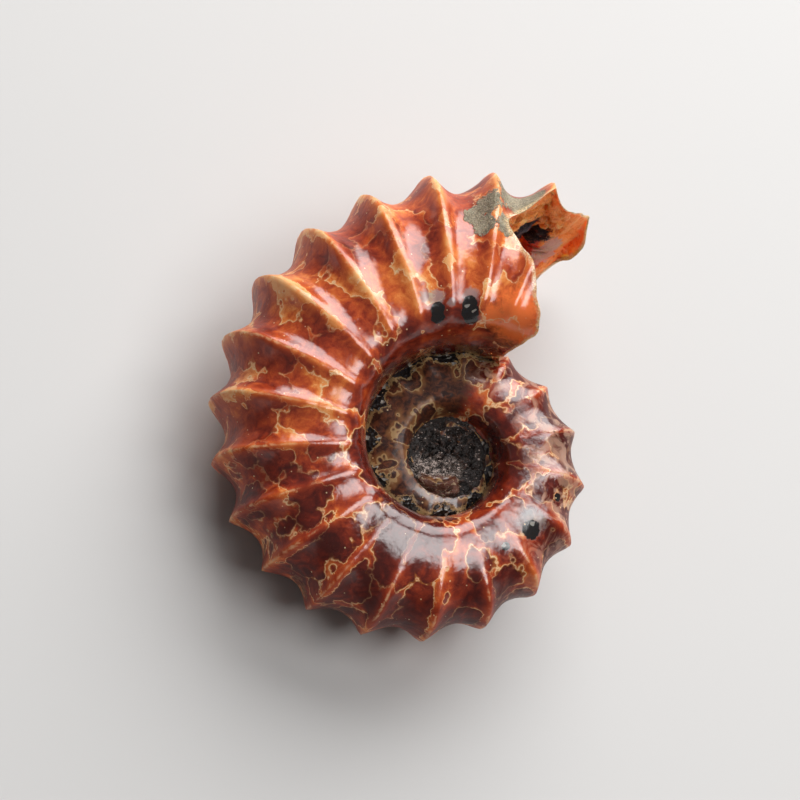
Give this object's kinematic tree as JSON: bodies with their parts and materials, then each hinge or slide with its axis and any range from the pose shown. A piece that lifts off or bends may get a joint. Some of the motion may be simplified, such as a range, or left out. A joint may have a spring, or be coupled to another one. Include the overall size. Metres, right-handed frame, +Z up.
{
  "type": "ammonite fossil",
  "caption": "Polished ammonite fossil lying on its flank: a thick coil with sharp scalloped ribs, dark pits in both navels and a hollow, broken wide end.",
  "frame": {"origin": "under the middle of the fossil's box, on the surface that it lies on", "axes": "+Z up, through the coil's thickness as it lies; +X and +Y along the surface, with the broken wide end towards +X +Y"},
  "size_m": [0.0464, 0.0542, 0.028],
  "materials": {
    "fossil_stone": "polished"
  },
  "bodies": {
    "root": {"ammonite": "fossil_stone"}
  },
  "joints": []
}
